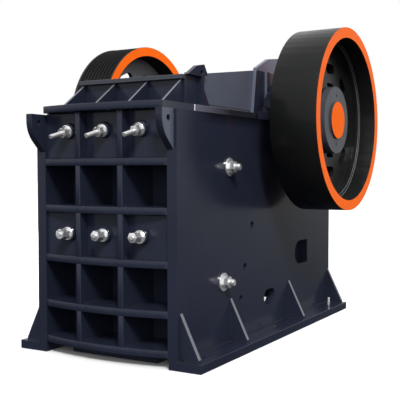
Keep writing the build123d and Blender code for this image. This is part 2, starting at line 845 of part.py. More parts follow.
def sheave():
    """Drive sheave with V-grooves round its rim, dished and open toward the frame."""
    rim_inner = wheel_radius - wheel_rim_thickness
    web_inner_x = -wheel_inner_x - sheave_web_inset
    web_outer_x = web_inner_x - sheave_web_thickness
    hub_outer_x = -(wheel_outer_x - wheel_hub_inset)
    hub_inner_x = -(wheel_inner_x + wheel_hub_back)
    pitch = (sheave_width - 2 * sheave_edge) / groove_count
    outline = [(-wheel_inner_x, rim_inner), (-wheel_inner_x, wheel_radius)]
    for index in range(groove_count):
        crest = -wheel_inner_x - sheave_edge - index * pitch
        outline += [(crest, wheel_radius), (crest - pitch / 2, wheel_radius - groove_depth)]
    outline += [
        (-sheave_outer_x + sheave_edge, wheel_radius),
        (-sheave_outer_x, wheel_radius),
        (-sheave_outer_x, rim_inner),
        (web_outer_x, rim_inner),
        (web_outer_x, wheel_hub_radius),
        (hub_outer_x, wheel_hub_radius),
        (hub_outer_x, journal_radius),
        (hub_inner_x, journal_radius),
        (hub_inner_x, wheel_hub_radius),
        (web_inner_x, wheel_hub_radius),
        (web_inner_x, rim_inner),
    ]
    wheel = turned(outline)
    through = (web_outer_x - cut_overrun, web_inner_x + cut_overrun)
    slot = (sheave_window_radius, sheave_window_length, sheave_window_height)
    for cut in ring_slots(window_count, *slot, through, first_step=sheave_window_turn_share):
        wheel -= cut
    return wheel


def hub_cap():
    """Round cap on the flywheel's end of the shaft."""
    cap_x = wheel_outer_x - wheel_hub_inset
    return rod_along_x(cap_radius, (cap_x, cap_x + cap_thickness), shaft_y, shaft_z)


def all_nodes():
    """Every piece of the machine by name."""
    nodes = {}
    sided = {
        "side_wall": side_wall(),
        "base_flange": base_flange(),
        "base_gussets": base_gussets(),
        "front_rib": front_ribs(),
        "top_flange": flange_side(),
        "feed_panel": feed_panel(),
        "bearing_housing": bearing_housing(),
        "cheek_plate": cheek_plate(),
    }
    for name, solid in sided.items():
        nodes[name + "_right"] = solid
        nodes[name + "_left"] = mirrored(solid)
    for number, bar in enumerate(front_bars(), start=1):
        nodes[f"front_bar_{number}"] = bar
    # The left corners of the feed frame are posts only
    nodes["front_lug_right"] = front_lug()
    nodes["front_lug_left"] = mirrored(front_corner([]))
    nodes["rear_lug_right"] = rear_lug()
    nodes["rear_lug_left"] = mirrored(rear_corner([]))
    back_y = (from_front(cell_depth), fixed_jaw_y)
    back_z = (bar_tops_z[0] - bar_thickness, flange_bottom_z)
    nodes["front_wall_plate"] = block((-inner_x, inner_x), back_y, back_z)
    nodes["jaw_bolt_pads"] = bolt_pads()
    upper_nut = (upper_nut_across_flats, upper_nut_height)
    lower_nut = (lower_nut_across_flats, lower_nut_height)
    nodes["upper_jaw_bolts"] = jaw_bolts(upper_bolt_z, upper_bolt_tilt, *upper_nut, upper_stud_length)
    nodes["lower_jaw_bolts"] = jaw_bolts(lower_bolt_z, lower_bolt_tilt, *lower_nut, lower_stud_length)
    nodes["front_sill"] = front_sill()
    nodes["top_flange_front"] = flange_front()
    nodes["feed_front_plate"] = feed_front_plate()
    nodes["feed_front_gussets"] = feed_gussets()
    nodes["feed_rear_plate"] = feed_rear_plate()
    nodes["fixed_jaw_plate"] = fixed_jaw_plate()
    nodes["swing_jaw"] = swing_jaw()
    nodes["swing_jaw_plate"] = swing_jaw_plate()
    nodes["toggle_plate"] = toggle_plate()
    nodes["toggle_beam"] = toggle_beam()
    nodes["rear_wall"] = rear_wall()
    nodes["tension_rod"] = tension_rod()
    nodes["eccentric_shaft"] = eccentric_shaft()
    nodes["flywheel"] = flywheel()
    nodes["sheave"] = sheave()
    nodes["flywheel_cap"] = hub_cap()
    return nodes


def main():
    os.makedirs("parts", exist_ok=True)
    for name, solid in all_nodes().items():
        export_step(solid, f"parts/{name}.step")


if __name__ == "__main__":
    main()
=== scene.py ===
"""Dressing of the jaw crusher: paint on every piece, bolts, nuts, weld beads, and the stage.

Metres, +Z up. The front wall faces -Y and the shaft lies along X, as in the frame.
"""

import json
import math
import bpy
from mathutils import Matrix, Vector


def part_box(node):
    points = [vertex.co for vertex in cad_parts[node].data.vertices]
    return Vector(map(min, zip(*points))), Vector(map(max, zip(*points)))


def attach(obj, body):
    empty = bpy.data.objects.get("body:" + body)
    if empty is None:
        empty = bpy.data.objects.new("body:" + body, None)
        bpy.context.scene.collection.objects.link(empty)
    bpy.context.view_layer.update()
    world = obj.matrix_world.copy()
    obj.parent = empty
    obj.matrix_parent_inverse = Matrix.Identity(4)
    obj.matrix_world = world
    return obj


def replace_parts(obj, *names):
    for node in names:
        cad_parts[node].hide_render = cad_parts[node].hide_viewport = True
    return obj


bl_info = {
    "name": "Jaw Crusher Dressing",
    "version": (1, 0, 0),
    "blender": (4, 5, 0),
    "location": "View3D > Sidebar > Crusher",
    "description": "Paints the jaw crusher, adds its bolts, nuts and weld beads, and sets the stage",
    "category": "Object",
}

import bmesh
import bpy
from bpy.props import FloatProperty, FloatVectorProperty, IntProperty, PointerProperty
from mathutils import Matrix, Vector

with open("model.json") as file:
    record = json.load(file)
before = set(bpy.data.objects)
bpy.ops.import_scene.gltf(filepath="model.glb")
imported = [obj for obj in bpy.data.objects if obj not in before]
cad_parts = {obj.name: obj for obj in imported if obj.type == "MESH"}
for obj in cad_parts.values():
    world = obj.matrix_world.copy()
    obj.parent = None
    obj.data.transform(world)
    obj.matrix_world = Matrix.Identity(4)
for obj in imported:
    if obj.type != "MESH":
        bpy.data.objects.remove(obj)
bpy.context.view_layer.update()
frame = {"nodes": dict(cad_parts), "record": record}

# Places read from the frame
cap_low, cap_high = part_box("flywheel_cap")
shaft_y = (cap_low.y + cap_high.y) / 2
shaft_z = (cap_low.z + cap_high.z) / 2
hub_face_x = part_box("eccentric_shaft")[1].x
cover_face_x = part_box("bearing_housing_right")[1].x
wall_low, wall_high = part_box("side_wall_right")
flange_low, flange_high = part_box("base_flange_right")
front_edge_y = flange_low.y
rear_edge_y = flange_high.y
pad_face_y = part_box("jaw_bolt_pads")[0].y
rod_low, rod_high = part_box("tension_rod")
strip_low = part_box("top_flange_right")[0]
panel_top_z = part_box("feed_panel_right")[1].z
anchor_row = next(mount["dims"] for mount in frame["record"]["mounts"] if mount["name"] == "anchor_corners")

# Nodes with a finish of their own: all others get the frame's enamel
finish_nodes = {
    "cast_steel": (
        "fixed_jaw_plate", "swing_jaw_plate", "cheek_plate_right", "cheek_plate_left", "toggle_plate"),
    "turned_steel": ("eccentric_shaft", "tension_rod"),
    "gusset_enamel": ("base_gussets_right", "base_gussets_left", "feed_front_gussets"),
    "panel_enamel": ("feed_panel_right", "feed_panel_left"),
    "rail_enamel": ("feed_front_plate",),
    "flange_enamel": ("top_flange_front",),
    "wall_enamel": ("side_wall_right", "side_wall_left"),
    "strip_enamel": ("top_flange_right", "top_flange_left"),
    "lug_enamel": ("rear_lug_right", "rear_lug_left"),
    "flywheel_enamel": ("flywheel",),
    "sheave_enamel": ("sheave",),
    "flywheel_cap_enamel": ("flywheel_cap",),
    "bright_zinc": ("upper_jaw_bolts", "lower_jaw_bolts"),
}
sides = (1, -1)
millimetre = 0.001
white = (1.0, 1.0, 1.0)

# Range that most noise falls in, rounded edge as a share of a washer, and distance between joined points
noise_span = (0.3, 0.7)
washer_round = 0.22
same_point = 1e-5


# Kinds of values that a user can change

def tint(name, description, default):
    """Colour of a finish."""
    return FloatVectorProperty(
        name=name, description=description, subtype="COLOR", size=3, min=0, max=1, default=default)


def metres(name, description, default):
    """One length, or two or three that belong together."""
    if isinstance(default, tuple):
        return FloatVectorProperty(
            name=name, description=description, unit="LENGTH", size=len(default), default=default)
    return FloatProperty(name=name, description=description, unit="LENGTH", default=default)


def degrees(name, description, default):
    """One angle."""
    return FloatProperty(name=name, description=description, subtype="ANGLE", default=math.radians(default))


def fraction(name, description, default):
    """One share between nothing and one."""
    return FloatProperty(name=name, description=description, subtype="FACTOR", min=0, max=1, default=default)


def strength(name, description, default):
    """Strength or power of a light."""
    return FloatProperty(name=name, description=description, min=0, default=default)


def number(name, description, default):
    """Number of like pieces."""
    return IntProperty(name=name, description=description, min=2, default=default)


class CrusherFinish(bpy.types.PropertyGroup):
    """Colours and gloss of the crusher."""

    frame_colour: tint("Frame", "Enamel of the frame", (0.016, 0.0198, 0.0355))
    # Painted light: the feed panels get a lighter enamel for the brighter reflection they catch, and the
    # ears' outer faces get it as painted light
    panel_lit_colour: tint("Feed panels", "Enamel of the feed panels and the ears' sides", (0.085, 0.096, 0.132))
    # Painted light: the flange's side strips are painted lighter
    strip_lit_colour: tint("Flange strips", "Thin paint on the top flange's side strips", (0.125, 0.126, 0.165))
    # Painted highlight on those strips' front ends
    strip_highlight_colour: tint("Strip ends", "Bare metal on those strips' front ends", (0.75, 0.75, 0.78))
    # Painted light: the rear lugs are painted lighter for the strong light they catch from behind
    lug_lit_colour: tint("Rear lugs", "Thin paint on the rear lugs and their edges", (0.112, 0.125, 0.175))
    # Painted highlight on the gussets' sloping edges, standing for the key light's reflection
    edge_highlight_colour: tint("Cut edges", "Thin paint on the gussets' sloping edges", (0.13, 0.137, 0.16))
    # Lighter enamel on the feed rail, and painted light on the end faces of the top flange's front piece
    rail_and_end_light_colour: tint("Feed rail", "Thin paint on the rail and the flange's ends", (0.045, 0.049, 0.064))
    wheel_colour: tint("Wheels", "Enamel of the flywheel and the sheave", (0.0085, 0.0088, 0.009))
    # Worn enamel with a painted sheen, on the sheave's ridges and the wheels' edges
    ridge_wear_and_sheen_colour: tint("Groove ridges", "Worn enamel on the wheels' ridges and edges", (0.03, 0.03, 0.0285))
    hub_colour: tint("Hub faces", "Grey primer on the hub faces", (0.06, 0.064, 0.075))
    # Painted light on the shaded web of the sheave
    web_lit_colour: tint("Sheave web", "Primer on the web's side toward the frame", (0.2, 0.2, 0.21))
    # Painted highlight: two bright rings stand for the light on the step's rounded edges
    step_highlight_colour: tint("Step rings", "Bright turned rings inside the flywheel's rim", (0.17, 0.17, 0.175))
    rim_colour: tint("Rim faces", "Signal paint of the rim faces and the hub cap", (0.98, 0.142, 0.003))
    zinc_colour: tint("Bolts", "Zinc of the bolts and nuts", (0.93, 0.93, 0.94))
    steel_colour: tint("Shaft", "Turned steel of the shaft and the tension rod", (0.5, 0.5, 0.52))
    cast_colour: tint("Jaw plates", "Cast steel of the jaw and cheek plates", (0.11, 0.11, 0.115))
    paint_roughness: fraction("Paint roughness", "Roughness of the enamel", 0.2)
    paint_gloss: fraction("Paint gloss", "Strength of the enamel's reflection", 0.3)
    weld_roughness: fraction("Weld roughness", "Roughness of the painted weld beads", 0.75)
    weld_tone: fraction("Weld tone", "Share of the frame's colour on the weld beads", 0.35)
    wheel_gloss: fraction("Flywheel gloss", "Strength of the flywheel's reflection", 0.17)
    rim_gloss: fraction("Sheave gloss", "Strength of the sheave's and the hub cap's reflection", 0.06)
    wheel_roughness: fraction("Flywheel roughness", "Roughness of the flywheel's and the cap's enamel", 0.24)
    groove_roughness: fraction("Sheave roughness", "Roughness of the sheave's enamel", 0.55)
    rim_roughness: fraction("Rim roughness", "Roughness of the signal paint", 0.5)
    paint_line: metres("Paint line", "Depth of the signal paint behind a rim's face", 0.0025)
    groove_depth: metres("Groove depth", "Depth of the sheave's grooves", 0.026)
    ridge_width: metres("Ridge width", "Depth of the worn enamel on the sheave's ridges", 0.007)
    hub_radius: metres("Hub", "Radius of the wheels' hubs", 0.25)
    hub_rise: metres("Hub rise", "How far the primer goes down the side of a hub", 0.05)
    # Reach of the painted light on the sheave's web
    lit_web_radius: metres("Web primer", "Radius of the primer on the sheave's web", 0.6)
    step_drop: metres("Step drop", "Flywheel's inner step behind its hub face", 0.022)
    step_rings: metres("Ring radii", "Radii of the bright rings on that step", (0.575, 0.601))
    step_ring_width: metres("Ring width", "Width of those rings", 0.006)
    rail_height: metres("Rail height", "Height of the rail along the feed frame's front", 0.029)
    # Painted shade: how far the darkening reaches down the walls under the top flange
    painted_shade_reach: metres("Grime", "How far grime spreads down the walls under the top flange", 0.09)
    # Length of the painted highlight on a strip's front end
    strip_end: metres("Strip end", "Length of the bare metal at a strip's front end", 0.009)
    # Length of the painted shade that darkens a strip toward the rear
    strip_fade: metres("Strip fade", "Length over which a strip's paint grows from thin to full", 0.5)
    edge_round: metres("Edge round", "Radius of the plates' edges", 0.003)


class CrusherFasteners(bpy.types.PropertyGroup):
    """Sizes of the bolts, nuts and screws."""

    upper_row_z: metres("Upper row", "Height of the upper jaw bolts", 1.469)
    lower_row_z: metres("Lower row", "Height of the lower jaw bolts", 0.805)
    upper_tilt: degrees("Upper tilt", "Lean of the upper jaw bolts toward the ground", 14)
    boss_radius: metres("Boss", "Radius of the boss under a jaw bolt", 0.05)
    boss_length: metres("Boss length", "Height of the boss at its middle", 0.026)
    boss_root: metres("Boss root", "How far the boss goes into its plate", 0.03)
    washer_radius: metres("Washer", "Radius of the jaw bolts' washers", 0.043)
    washer_thickness: metres("Washer thickness", "Thickness of the washers", 0.012)
    upper_nut: metres("Upper nuts", "Width across the flats, and height", (0.06, 0.046))
    lower_nut: metres("Lower nuts", "Width across the flats, and height of each of two", (0.06, 0.037))
    stud_radius: metres("Stud", "Radius of the jaw bolts", 0.0145)
    upper_stud_length: metres("Upper stud", "Upper stud's length beyond its nut", 0.11)
    lower_stud_length: metres("Lower stud", "Lower stud's length beyond its nuts", 0.008)
    thread_pitch: metres("Thread", "Pitch of the threads", 0.0035)
    cheek_upper: metres("Upper cheek bolt", "Distance behind the front edge, and height", (0.663, 1.236))
    cheek_lower: metres("Lower cheek bolt", "Distance behind the front edge, and height", (0.576, 0.471))
    cheek_washer_radius: metres("Cheek washer", "Radius of the cheek bolts' washers", 0.062)
    cheek_nut: metres("Cheek nuts", "Width across the flats, and height", (0.07, 0.042))
    cheek_stud: metres("Cheek studs", "Radius, and length beyond the nut", (0.023, 0.034))
    cover_screw_count: number("Cover screws", "Screws round each bearing cover", 10)
    cover_circle: metres("Cover circle", "Radius of the ring of cover screws", 0.185)
    cover_screw: metres("Cover screw heads", "Width across the flats, and height", (0.03, 0.013))
    foot_bolt_offset: metres("Foot bolts", "Foot bolts' distance from the shaft line", 0.335)
    foot_top_rise: metres("Foot top", "Top of the housings' feet above the shaft line", 0.058)
    foot_nut: metres("Foot nuts", "Width across the flats, and height", (0.055, 0.029))
    anchor_stud_radius: metres("Anchor stud", "Radius of the studs in the rear anchor holes", 0.012)
    anchor_stud_rise: metres("Anchor stud height", "Height of those studs over the base flange", 0.058)
    rod_nut: metres("Rod nut", "Width across the flats, and height", (0.108, 0.058))
    nut_turn: degrees("Nut turn", "How much further each nut of a row is turned", 17)


class CrusherWelds(bpy.types.PropertyGroup):
    """Sizes of the weld beads."""

    leg: metres("Leg", "Leg of the weld beads", 0.008)
    gusset_clip: metres("Gusset clip", "Cut corner of the base gussets, left free of weld", 0.024)
    gusset_tip: metres("Gusset tip", "Length at a base gusset's top left free of weld", 0.03)
    pad_inset: metres("Pad inset", "Length at a bolt plate's ends left free of weld", 0.03)
    rib_run: metres("Rib run", "Length of the beads beside the front wall's uprights", 0.2)
    rib_start: metres("Rib start", "Start of those beads behind the uprights' front edges", 0.03)
    rear_rib_count: number("Rear ribs", "Ribs of the rear wall", 4)
    rear_rib_thickness: metres("Rear rib", "Thickness of the rear wall's ribs", 0.03)
    rear_rib_inset: metres("Rear rib inset", "Outer ribs' distance from the side walls", 0.03)
    rear_rib_depth: metres("Rear rib depth", "How far the ribs stand out of the rear wall", 0.06)


class CrusherStage(bpy.types.PropertyGroup):
    """Camera and light."""

    camera_place: metres("Camera", "Place of the camera", (2.9833, -5.172, 1.215))
    camera_azimuth: degrees("Azimuth", "Turn of the camera to the left of +Y", 30.226)
    camera_pitch: degrees("Pitch", "Tilt of the camera below the horizon", 2.217)
    camera_roll: degrees("Roll", "Turn of the camera about its view", -0.146)
    lens: FloatProperty(name="Lens", description="Focal length in millimetres", min=1, default=69.14)
    backdrop_strength: strength("Backdrop", "Strength of the white backdrop behind the crusher", 1.0)
    sky_ground: strength("Ground", "Strength of the surroundings below the horizon", 0.04)
    sky_low: strength("Low sky", "Strength of the surroundings at the horizon", 0.7)
    sky_high: strength("High sky", "Strength of the surroundings overhead", 1.0)
    sky_band: FloatVectorProperty(
        name="Horizon band", description="Upward share where the ground ends and where the low sky starts",
        size=2, default=(-0.2, 0.12))
    sun_strength: strength("Sun", "Strength of the broad key light", 2.7)
    sun_from: FloatVectorProperty(
        name="Sun direction", description="Where the key light comes from", subtype="DIRECTION",
        size=3, default=(0.62, -0.68, 0.85))
    sun_spread: degrees("Sun spread", "How wide the key light is", 14)
    rim_place: metres("Rim light", "Place of the light behind the right side", (4.5, 8.0, 7.0))
    rim_size: metres("Rim light size", "Width of the rim light", 3.0)
    rim_power: strength("Rim light power", "Power of the rim light in watts", 220.0)
    fill_place: metres("Fill light", "Place of the light behind the camera", (3.2, -8.5, 1.6))
    fill_size: metres("Fill light size", "Width of the fill light", 5.0)
    fill_power: strength("Fill light power", "Power of the fill light in watts", 140.0)
    back_place: metres("Back light", "Place of the light at the left rear", (-6.5, 6.5, 4.0))
    back_size: metres("Back light size", "Width of the back light", 5.0)
    back_power: strength("Back light power", "Power of the back light in watts", 450.0)
    light_target: metres("Light target", "What the rim, fill and back lights look at", (0.3, 0.0, 1.0))
    floor_half_size: metres("Floor", "Half the floor's width", 60.0)


def finish():
    """The colours and gloss in the scene."""
    return bpy.context.scene.crusher_finish


def fasteners():
    """The fastener sizes in the scene."""
    return bpy.context.scene.crusher_fasteners


def welds():
    """The weld sizes in the scene."""
    return bpy.context.scene.crusher_welds


def stage():
    """The stage values in the scene."""
    return bpy.context.scene.crusher_stage


# Shader helpers

def new_material(name):
    """New material with a Principled shader on its output."""
    material = bpy.data.materials.new(name)
    material.use_nodes = True
    tree = material.node_tree
    tree.nodes.clear()
    output = tree.nodes.new("ShaderNodeOutputMaterial")
    shader = tree.nodes.new("ShaderNodeBsdfPrincipled")
    tree.links.new(shader.outputs["BSDF"], output.inputs["Surface"])
    return material, tree, shader


def object_place(tree):
    """Place on the piece, in metres."""
    return tree.nodes.new("ShaderNodeTexCoord").outputs["Object"]


def node_output(tree, kind, output, inputs, **settings):
    """Output of a new shader node, with its inputs set from values or linked from sockets."""
    node = tree.nodes.new("ShaderNode" + kind)
    for key, value in settings.items():
        setattr(node, key, value)
    for key, value in inputs.items():
        socket = node.inputs[key]
        if isinstance(value, bpy.types.NodeSocket):
            tree.links.new(value, socket)
        elif socket.type == "RGBA":
            socket.default_value = (*value, 1.0)
        else:
            socket.default_value = value
    return node.outputs[output]


def stretched(tree, place, scale):
    """Place scaled by its own factor along each axis."""
    return node_output(tree, "Mapping", "Vector", {"Vector": place, "Scale": scale})


def noise(tree, place, scale, detail=3.0):
    """Noise value over a place."""
    return node_output(tree, "TexNoise", "Fac", {"Vector": place, "Scale": scale, "Detail": detail})


def remapped(tree, value, source, target):
    """Value moved from one range to another, held inside it."""
    ends = zip(("From Min", "From Max", "To Min", "To Max"), (*source, *target))
    return node_output(tree, "MapRange", "Result", {"Value": value, **dict(ends)})


def grown(tree, value, span):
    """Share that grows from nothing to one while a value goes through a range."""
    return remapped(tree, value, span, (0.0, 1.0))


def clouds(tree, place, scale):
    """Soft patches between nothing and one."""
    return grown(tree, noise(tree, place, scale), noise_span)


def maths(tree, operation, first, second=0.0):
    """One or two values or numbers put through one operation."""
    return node_output(tree, "Math", "Value", {0: first, 1: second}, operation=operation)


def both(tree, first, second):
    """Product of two values: of two shares, one where both are one."""
    return maths(tree, "MULTIPLY", first, second)


def either(tree, first, second):
    """The larger of two shares."""
    return maths(tree, "MAXIMUM", first, second)


def is_over(tree, value, limit):
    """One where a value is over a limit."""
    return maths(tree, "GREATER_THAN", value, limit)


def is_under(tree, value, limit):
    """One where a value is under a limit."""
    return maths(tree, "LESS_THAN", value, limit)


def beyond(tree, value, low, high):
    """One where a value is past either end of a range."""
    return either(tree, is_under(tree, value, low), is_over(tree, value, high))


def around(tree, value, middle, half):
    """One where a value is within half a width of a middle."""
    return maths(tree, "SUBTRACT", 1.0, beyond(tree, value, middle - half, middle + half))


def mixed(tree, share, first, second):
    """Mix of two colours, each a colour or a socket."""
    inputs = {"Factor": share, "A": first, "B": second}
    return node_output(tree, "Mix", "Result", inputs, data_type="RGBA")


def shaded(colour, factor):
    """Colour made lighter or darker."""
    return tuple(min(part * factor, 1.0) for part in colour)


def toned(tree, share, colour, dark, light):
    """Colour that goes from a dark tone to a light one with a share."""
    return mixed(tree, share, shaded(colour, dark), shaded(colour, light))


def patchy(tree, place, colour, scale, dark, light):
    """Colour with soft patches of a dark and a light tone."""
    return toned(tree, clouds(tree, place, scale), colour, dark, light)


def edge_share(tree, radius):
    """One on the edges of a piece and nothing on its faces."""
    rounded = node_output(tree, "Bevel", "Normal", {"Radius": radius})
    plain = node_output(tree, "NewGeometry", "Normal", {})
    dot = node_output(tree, "VectorMath", "Value", {0: rounded, 1: plain}, operation="DOT_PRODUCT")
    return grown(tree, dot, span=(0.99, 0.8))


def roughened(tree, shader, value, smooth, rough):
    """Roughness that goes from smooth to rough with a noise value."""
    tree.links.new(remapped(tree, value, noise_span, (smooth, rough)), shader.inputs["Roughness"])


def bumped(tree, shader, height, depth):
    """Surface relief from a height, in metres of depth."""
    inputs = {"Strength": 1.0, "Distance": depth, "Height": height}
    tree.links.new(node_output(tree, "Bump", "Normal", inputs), shader.inputs["Normal"])


def split_place(tree, place):
    """X, Y and Z of a place."""
    node = tree.nodes.new("ShaderNodeSeparateXYZ")
    tree.links.new(place, node.inputs["Vector"])
    return node.outputs["X"], node.outputs["Y"], node.outputs["Z"]


def facing(tree):
    """X, Y and Z of the direction that a face looks in."""
    return split_place(tree, tree.nodes.new("ShaderNodeNewGeometry").outputs["Normal"])


# Parts of a plate with a lighter colour, painted light or painted shade

def sloping_highlight(tree, place):
    """One on faces that slope upward, where the gussets get a painted highlight, and nothing on level and
    upright ones.
    """
    up = facing(tree)[2]
    return both(tree, is_over(tree, up, limit=0.2), is_under(tree, up, limit=0.95))


def on_rail(tree, place):
    """One on the rail along the feed frame's front."""
    rail_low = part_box("feed_front_plate")[1].z - finish().rail_height
    return is_over(tree, split_place(tree, place)[2], rail_low)


def lit_lug_part(tree, place):
    """One on the part of a rear corner that stands above the side panels, and on its front edge, where
    painted light goes.
    """
    above = is_over(tree, split_place(tree, place)[2], panel_top_z)
    return either(tree, above, is_under(tree, facing(tree)[1], limit=-0.8))


def on_ends(tree, place):
    """One on the faces that look along the shaft, to the left or the right."""
    return is_over(tree, maths(tree, "ABSOLUTE", facing(tree)[0]), limit=0.9)


def strip_end_highlight(tree, place):
    """One on the front end of a side strip of the top flange, where a painted highlight goes."""
    return is_under(tree, split_place(tree, place)[1], strip_low.y + finish().strip_end)


def strip_shade_toward_rear(tree, place):
    """Grows to one along a side strip of the top flange from its front end: painted shade that leaves the
    strip lit at the front and darker toward the rear.
    """
    fade = (strip_low.y, strip_low.y + finish().strip_fade)
    return grown(tree, split_place(tree, place)[1], fade)


def lit_ear_face(tree, place):
    """One on the outer face of a lifting ear, which gets painted light."""
    x, y = split_place(tree, place)[:2]
    outward = is_over(tree, both(tree, x, facing(tree)[0]), wall_low.x / 2)
    return both(tree, outward, is_under(tree, y, front_edge_y))


def shade_under_strip(tree, place):
    """Grows to one on a wall toward the side strip of the top flange: painted shade under the flange's
    overhang.
    """
    y, z = split_place(tree, place)[1:]
    reach = finish().painted_shade_reach
    near = grown(tree, z, (strip_low.z - reach, strip_low.z))
    return both(tree, near, grown(tree, y, (strip_low.y - reach, strip_low.y + reach)))


# Finishes

def enamel(name, colour, roughness, pale=None, painted_light_colour=None, painted_shade=None, rubbed=True):
    """Glossy enamel on plate, with soft tones, orange peel, rubbed edges, a part in a lighter colour (painted
    light and painted highlights on most plates, a lighter rail on the feed frame), and a part darkened as
    painted shade.
    """
    material, tree, shader = new_material(name)
    place = object_place(tree)
    tone = patchy(tree, place, colour, scale=1.6, dark=0.88, light=1.14)
    # Lighter colour on a masked part: painted light on most plates, a lighter rail on the feed frame
    if pale:
        tone = mixed(tree, pale(tree, place), tone, painted_light_colour)
    # Painted shade: the colour darkens where the mask grows to one
    if painted_shade:
        tone = mixed(tree, painted_shade(tree, place), tone, shaded(colour, factor=0.15))
    if rubbed:
        rub = remapped(tree, noise(tree, place, scale=38.0), source=(0.5, 0.68), target=(0.0, 0.55))
        wear = both(tree, edge_share(tree, radius=0.004), rub)
        tone = mixed(tree, wear, tone, shaded(colour, factor=4.0))
    tree.links.new(tone, shader.inputs["Base Color"])
    smear = noise(tree, stretched(tree, place, scale=(5.0, 5.0, 1.4)), scale=1.0)
    roughened(tree, shader, smear, smooth=roughness * 0.82, rough=roughness * 1.25)
    shader.inputs["Specular IOR Level"].default_value = finish().paint_gloss
    bumped(tree, shader, noise(tree, place, scale=120.0, detail=2.0), depth=0.00003)
    return material


def frame_paint(name, pale=None, painted_light_colour=None, painted_shade=None):
    """Enamel in the frame's own colour."""
    return enamel(name, finish().frame_colour, finish().paint_roughness, pale, painted_light_colour, painted_shade)


def lit_strip_paint(name):
    """Enamel of the top flange's side strips, painted lighter as painted light: a painted highlight at the
    front end, then painted shade that darkens them toward the rear.
    """
    bare = (strip_end_highlight, finish().strip_highlight_colour)
    return enamel(name, finish().strip_lit_colour, finish().paint_roughness, *bare, strip_shade_toward_rear)


def weld_paint(name):
    """Dull dark enamel of the weld beads."""
    colour = shaded(finish().frame_colour, finish().weld_tone)
    return enamel(name, colour, finish().weld_roughness, rubbed=False)


def turned_radius(tree, place):
    """X of a place, and its distance from the shaft line."""
    x, y, z = split_place(tree, place)
    across = maths(tree, "SUBTRACT", y, shaft_y)
    above = maths(tree, "SUBTRACT", z, shaft_z)
    square = maths(tree, "ADD", both(tree, across, across), both(tree, above, above))
    return x, maths(tree, "SQRT", square)


def turning_marks(tree, x, radius):
    """Fine rings that a lathe leaves round the shaft line."""
    joined = node_output(tree, "CombineXYZ", "Vector", {"X": x, "Y": radius})
    return noise(tree, joined, scale=320.0, detail=2.0)


def step_highlight_share(tree, x, radius):
    """One on the two rings of the step inside the flywheel's rim, which get painted highlights."""
    half = finish().step_ring_width / 2
    inner, outer = finish().step_rings
    rings = either(tree, around(tree, radius, inner, half), around(tree, radius, outer, half))
    return both(tree, rings, around(tree, x, hub_face_x - finish().step_drop, half))


def groove_shade_and_wear(tree, radius, outer, tone):
    """Wheel enamel with painted shade in the sheave's grooves, and worn enamel with a painted sheen on the
    ridges between them.
    """
    depth = finish().groove_depth
    on_ridge = grown(tree, radius, (outer - finish().ridge_width, outer))
    # Painted shade: darker deep in the grooves
    groove_shade_share = grown(tree, radius, (outer - 2 * depth, outer - depth))
    dark = shaded(finish().wheel_colour, factor=0.3)
    return mixed(tree, groove_shade_share, tone, mixed(tree, on_ridge, dark, finish().ridge_wear_and_sheen_colour))


def lit_web_paint(tree, place, radius, tone):
    """Painted light: a light grey on the shaded side of the sheave's web that faces the frame."""
    inside = is_over(tree, facing(tree)[0], limit=0.9)
    lit_web_share = both(tree, inside, is_under(tree, radius, finish().lit_web_radius))
    primer = patchy(tree, place, finish().web_lit_colour, scale=7.0, dark=0.9, light=1.0)
    return mixed(tree, lit_web_share, tone, primer)


def wheel_enamel(name, node, gloss, grooved=False):
    """Black enamel with faint turning marks, signal paint on the rim faces, primer on the hubs, painted shade
    in the sheave's grooves, painted light on its web, and painted highlights on the flywheel's step rings and
    on worn edges.
    """
    material, tree, shader = new_material(name)
    place = object_place(tree)
    x, radius = turned_radius(tree, place)
    low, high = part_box(node)
    tone = patchy(tree, place, finish().wheel_colour, scale=2.2, dark=0.8, light=1.3)
    # Painted shade in the sheave's grooves
    if grooved:
        tone = groove_shade_and_wear(tree, radius, (high.z - low.z) / 2, tone)
    hub_foot = hub_face_x - finish().hub_rise
    on_hub = both(tree, is_under(tree, radius, finish().hub_radius), beyond(tree, x, -hub_foot, hub_foot))
    primer = patchy(tree, place, finish().hub_colour, scale=7.0, dark=0.85, light=1.15)
    tone = mixed(tree, on_hub, tone, primer)
    # Painted light on the sheave's web
    if grooved:
        tone = lit_web_paint(tree, place, radius, tone)
    # Painted highlights on the flywheel's step rings
    tone = mixed(tree, step_highlight_share(tree, x, radius), tone, finish().step_highlight_colour)
    # Worn edges, with a painted sheen on their rounded edges
    edge_wear_and_sheen = both(tree, edge_share(tree, radius=0.003), clouds(tree, place, scale=3.0))
    tone = mixed(tree, edge_wear_and_sheen, tone, finish().ridge_wear_and_sheen_colour)
    line = finish().paint_line
    on_rim = both(tree, beyond(tree, x, low.x + line, high.x - line), on_ends(tree, place))
    signal = patchy(tree, place, finish().rim_colour, scale=9.0, dark=0.95, light=1.03)
    tree.links.new(mixed(tree, on_rim, tone, signal), shader.inputs["Base Color"])
    smear = remapped(tree, noise(tree, place, scale=6.0), noise_span, target=(0.88, 1.15))
    enamel_roughness = finish().groove_roughness if grooved else finish().wheel_roughness
    spread = remapped(tree, on_rim, (0.0, 1.0), (enamel_roughness, finish().rim_roughness))
    tree.links.new(both(tree, smear, spread), shader.inputs["Roughness"])
    shader.inputs["Specular IOR Level"].default_value = gloss
    bumped(tree, shader, turning_marks(tree, x, radius), depth=0.00002)
    return material


def zinc(name):
    """Bright zinc on bolts: metal with a fine cloudy spangle."""
    material, tree, shader = new_material(name)
    place = object_place(tree)
    tone = patchy(tree, place, finish().zinc_colour, scale=25.0, dark=0.94, light=1.04)
    tree.links.new(tone, shader.inputs["Base Color"])
    shader.inputs["Metallic"].default_value = 0.82
    roughened(tree, shader, noise(tree, place, scale=40.0), smooth=0.14, rough=0.24)
    bumped(tree, shader, noise(tree, place, scale=300.0, detail=2.0), depth=0.000004)
    return material


